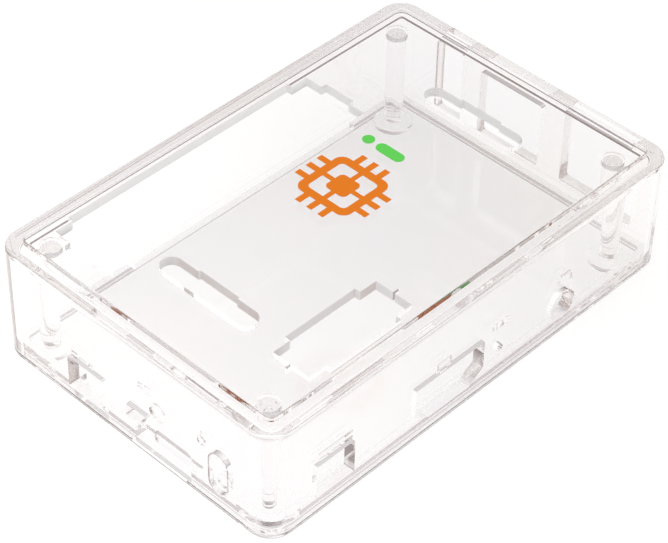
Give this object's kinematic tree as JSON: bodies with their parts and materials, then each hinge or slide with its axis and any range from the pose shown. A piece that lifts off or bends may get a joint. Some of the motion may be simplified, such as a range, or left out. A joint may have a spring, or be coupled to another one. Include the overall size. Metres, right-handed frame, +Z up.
{
  "type": "single board computer case",
  "caption": "Clear two-shell protective case for a small single board computer, with a deep cover, thin base plate, corner posts, port openings and a press tongue.",
  "frame": {"origin": "middle of the underside, on the surface the case stands on", "axes": "+X along the long side, towards the network and plug openings; +Y from the power side to the pin header side; +Z up"},
  "size_m": [0.0944, 0.0624, 0.0235],
  "materials": {
    "clear_plastic": "transparent, polished as moulded",
    "orange_ink": "opaque pad-printed ink, satin",
    "green_ink": "opaque pad-printed ink, satin"
  },
  "bodies": {
    "base": {"base_plate": "clear_plastic"},
    "cover": {"top_cover": "clear_plastic", "chip_print": "orange_ink", "accent_bar": "green_ink", "accent_dot": "green_ink"},
    "tongue": {"press_tongue": "clear_plastic"}
  },
  "joints": [
    {"name": "cover_lift", "type": "slide", "parent": "base", "child": "cover", "axis": [0, 0, 1], "range_m": [0, 0.03]},
    {"name": "press_hinge", "type": "hinge", "parent": "cover", "child": "tongue", "pos_m": [-0.0461, -0.0199, 0.0113], "axis": [0, -1, 0], "range_deg": [0, 5], "stiffness_Nm_per_rad": 0.1}
  ]
}
